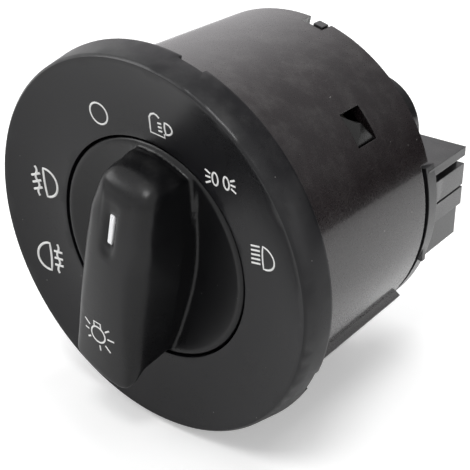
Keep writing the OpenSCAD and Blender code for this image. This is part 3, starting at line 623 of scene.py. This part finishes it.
def lampPoints(x, z, wide, high, side=1):
    # a lamp seen from the side: a full front and a slightly bowed back, side 1 bulges right
    front = ovalPoints(x, z, wide * side, high / 2, 0.0, 0.0, 180.0, 18)
    return front + [(x - 0.18 * side * math.sin(math.pi * k / 6), z - high / 2 + high * k / 6) for k in range(7)]


def makeSymbol(name, strokes, depthOf, body, bead="beadRadius"):
    bpy.ops.curve.primitive_nurbs_path_add()
    piece = bpy.context.object
    piece.name = name
    curve = piece.data
    curve.splines.clear()
    curve.dimensions = "3D"
    curve.bevel_depth = symbolLook[bead] * mm
    curve.bevel_resolution = 3
    curve.use_fill_caps = True
    for points in strokes:
        closed = math.dist(points[0], points[-1]) < 1e-6
        if closed:
            points = points[:-1]
        spline = curve.splines.new("POLY")
        spline.points.add(len(points) - 1)
        for point, (x, z) in zip(spline.points, points):
            point.co = (x * mm, (depthOf(x, z) + symbolLook["sink"]) * mm, z * mm, 1.0)
        spline.use_cyclic_u = closed
    pick(piece)
    bpy.ops.object.convert(target="MESH")
    piece = bpy.context.object
    applyPlace(piece)
    smoothByAngle(piece, 60)
    paint(piece, materials["print_white"])
    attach(piece, body)
    return piece


offPlace = (-9.5, 24.15)
makeSymbol("symbolOff", [ovalPoints(*offPlace, 2.0, 2.0)], faceDepth, "housing")

makeSymbol("symbolAutomatic", [
    [(5.0, 26.75), (4.5, 27.2), (3.9, 27.35), (3.2, 27.1), (2.7, 26.5), (2.55, 23.7), (5.75, 23.35), (5.72, 24.05)],
    barPoints(4.45, 25.75, 5.3, 25.75), barPoints(4.45, 25.05, 5.3, 25.05), barPoints(4.45, 24.35, 5.3, 24.35),
    shiftPoints(lampPoints(0, 0, 1.5, 2.15), 6.1, 25.1),
], faceDepth, "housing")

sideStrokes = []
for side in (-1, 1):
    cx = 17.6 + side * 1.25
    sideStrokes.append(ovalPoints(cx, 18.9, 0.62, 1.15))
    for dz, reach in ((0.85, 0.75), (0.0, 0.0), (-0.85, -0.75)):
        sideStrokes.append(barPoints(cx + side * 1.0, 18.9 + dz * 0.8, cx + side * 2.1, 18.9 + dz * 0.8 + reach * 0.7))
makeSymbol("symbolSideLights", sideStrokes, faceDepth, "housing")

lowStrokes = [shiftPoints(lampPoints(0, 0, 2.6, 4.3), 26.2, 7.6)]
for k in range(5):
    lowStrokes.append(barPoints(25.5, 9.4 - 0.82 * k, 23.5, 9.0 - 0.82 * k))
makeSymbol("symbolLowBeam", lowStrokes, faceDepth, "housing")


def fogStrokes(x, z, side):
    strokes = [shiftPoints(lampPoints(0, 0, 3.0, 6.0, side), x, z)]
    wave = x - side * 1.9
    strokes.append([(wave + 0.28 * math.sin(2 * math.pi * k / 8.0), z + 3.2 - 6.4 * k / 16) for k in range(17)])
    slope = -0.5 if side > 0 else 0.0
    for dz in (1.5, 0.0, -1.5):
        strokes.append(barPoints(wave + side * 0.95, z + dz + 0.25 * (side > 0), wave - side * 1.15, z + dz + slope))
    return strokes


makeSymbol("symbolFrontFog", fogStrokes(-26.4, 6.3, 1), faceDepth, "housing", "boldRadius")
makeSymbol("symbolRearFog", fogStrokes(-27.6, -10.2, -1), faceDepth, "housing", "boldRadius")

bulb = (-4.4, -14.1)
bulbStrokes = [
    ovalPoints(*bulb, 1.75, 1.75),
    shiftPoints([(-0.85, 1.5), (-0.85, 2.75), (0.85, 2.75), (0.85, 1.5)], *bulb, 4.0),
]
for angle, near, far in ((-52, 2.45, 4.1), (-82, 2.4, 3.4), (-118, 2.4, 3.3), (-180, 2.45, 3.6), (142, 2.45, 4.1),
                         (95, 2.4, 3.9), (58, 2.4, 3.7)):
    a = math.radians(angle)
    bulbStrokes.append(barPoints(bulb[0] + near * math.sin(a), bulb[1] + near * math.cos(a),
                                 bulb[0] + far * math.sin(a), bulb[1] + far * math.cos(a)))
makeSymbol("symbolBulb", bulbStrokes, gripDepth, "knob")
print("symbols laid")


# floor, light and camera

stageLook = {"floorHeight": cadBox[0][2], "floorSize": 3.0, "floorTone": 0.82, "cameraLift": 0.34}

bpy.ops.mesh.primitive_plane_add(size=stageLook["floorSize"], location=(0, 0, stageLook["floorHeight"] - 0.00002))
floor = bpy.context.object
floor.name = "paleFloor"
floorMaterial = bpy.data.materials.new("paleFloor")
floorMaterial.use_nodes = True
floorTree = floorMaterial.node_tree
floorShader = floorTree.nodes["Principled BSDF"]
floorShader.inputs["Base Color"].default_value = (*(stageLook["floorTone"],) * 3, 1.0)
floorShader.inputs["Roughness"].default_value = 0.6
floorShader.inputs["Specular IOR Level"].default_value = 0.2
path = floorTree.nodes.new("ShaderNodeLightPath")
lift = math2(floorTree, "MULTIPLY", path.outputs["Is Camera Ray"], stageLook["cameraLift"])
floorShader.inputs["Emission Color"].default_value = (1.0, 1.0, 1.0, 1.0)
floorTree.links.new(lift, floorShader.inputs["Emission Strength"])
paint(floor, floorMaterial)

# a card stands behind the object, dark at its foot and paler to the top left, for the glossy barrel to show
cardLook = {"left": -0.5, "right": 1.3, "depth": 0.33, "top": 0.95, "pale": 0.4, "palest": 0.6}
bpy.ops.mesh.primitive_plane_add(size=1.0)
card = bpy.context.object
card.name = "gradedCard"
bpy.ops.object.mode_set(mode="EDIT")
bpy.ops.transform.rotate(value=math.radians(90), orient_axis="X", center_override=(0.0, 0.0, 0.0))
bpy.ops.transform.resize(value=(cardLook["right"] - cardLook["left"], 1.0, cardLook["top"] - stageLook["floorHeight"]))
bpy.ops.transform.translate(value=((cardLook["left"] + cardLook["right"]) / 2, cardLook["depth"],
                                   (cardLook["top"] + stageLook["floorHeight"]) / 2))
bpy.ops.object.mode_set(mode="OBJECT")
cardMaterial = bpy.data.materials.new("gradedCard")
cardMaterial.use_nodes = True
cardTree = cardMaterial.node_tree
cardShader = cardTree.nodes["Principled BSDF"]
cardShader.inputs["Base Color"].default_value = (0.003, 0.003, 0.003, 1.0)
cardShader.inputs["Roughness"].default_value = 0.9
cardShader.inputs["Specular IOR Level"].default_value = 0.0
cardPlace = cardTree.nodes.new("ShaderNodeTexCoord")
cardAxes = cardTree.nodes.new("ShaderNodeSeparateXYZ")
cardTree.links.new(cardPlace.outputs["Object"], cardAxes.inputs["Vector"])
upper = math2(cardTree, "MULTIPLY", ramp(cardTree, cardAxes.outputs["Z"], 0.0, 0.33), cardLook["pale"])
leftward = math2(cardTree, "MULTIPLY", ramp(cardTree, math2(cardTree, "MULTIPLY", cardAxes.outputs["X"], -1.0), -0.1, 0.26),
                 cardLook["palest"])
cardShader.inputs["Emission Color"].default_value = (1.0, 0.98, 1.0, 1.0)
cardTree.links.new(math2(cardTree, "ADD", upper, leftward), cardShader.inputs["Emission Strength"])
paint(card, cardMaterial)
card.visible_camera = False
card.visible_diffuse = False
card.visible_shadow = False

world = bpy.data.worlds.new("studio")
bpy.context.scene.world = world
world.use_nodes = True
worldTree = world.node_tree
background = worldTree.nodes["Background"]
worldPath = worldTree.nodes.new("ShaderNodeLightPath")
seen = math2(worldTree, "MAXIMUM", worldPath.outputs["Is Camera Ray"],
             math2(worldTree, "MAXIMUM", worldPath.outputs["Is Glossy Ray"], worldPath.outputs["Is Transmission Ray"]))
strength = math2(worldTree, "ADD", math2(worldTree, "MULTIPLY", seen, 0.6), 0.4)
background.inputs["Color"].default_value = (1.0, 1.0, 1.0, 1.0)
worldTree.links.new(strength, background.inputs["Strength"])

lamps = {
    "keyLeft": {"at": (-0.55, -0.35, 0.55), "size": (0.45, 0.45), "power": 2.7},
    "overhead": {"at": (0.05, 0.25, 0.8), "size": (0.6, 0.4), "power": 3.6, "glossy": False},
    "sideRight": {"at": (0.75, 0.35, 0.2), "size": (0.4, 0.5), "power": 0.8},
    "frontTop": {"at": (0.13, -0.24, 0.68), "size": (0.2, 0.2), "power": 1.5},
}
for name, lamp in lamps.items():
    bpy.ops.object.light_add(type="AREA", location=lamp["at"])
    light = bpy.context.object
    light.name = name
    light.data.shape = "RECTANGLE"
    light.data.size, light.data.size_y = lamp["size"]
    light.data.energy = lamp["power"]
    light.visible_glossy = lamp.get("glossy", True)
    aim = Vector(lamp["at"]) - Vector((0.0, 0.015, 0.0))
    light.rotation_euler = aim.to_track_quat("Z", "Y").to_euler()

viewLook = {"azimuth": 36.266, "elevation": 32.079, "distance": 0.176649, "across": 0.027729, "upwards": -0.006784,
            "depth": -0.0062, "lens": 75.65, "shift": 0.1277}
az, el = math.radians(viewLook["azimuth"]), math.radians(viewLook["elevation"])
backward = Vector((math.sin(az) * math.cos(el), -math.cos(az) * math.cos(el), math.sin(el)))
sideways = Vector((math.cos(az), math.sin(az), 0.0))
upward = backward.cross(sideways)
place = sideways * viewLook["across"] + upward * viewLook["upwards"] + backward * viewLook["distance"]
place.y += viewLook["depth"]
bpy.ops.object.camera_add(location=place)
camera = bpy.context.object
camera.name = "photoView"
turn = Matrix((sideways, upward, backward)).transposed()
camera.rotation_euler = turn.to_euler()
camera.data.sensor_width = 36.0
camera.data.lens = viewLook["lens"]
camera.data.shift_x = -viewLook["shift"]
camera.data.shift_y = viewLook["shift"]
camera.data.clip_start = 0.01
bpy.context.scene.camera = camera
bpy.context.scene.view_settings.view_transform = "Standard"
print("stage set")
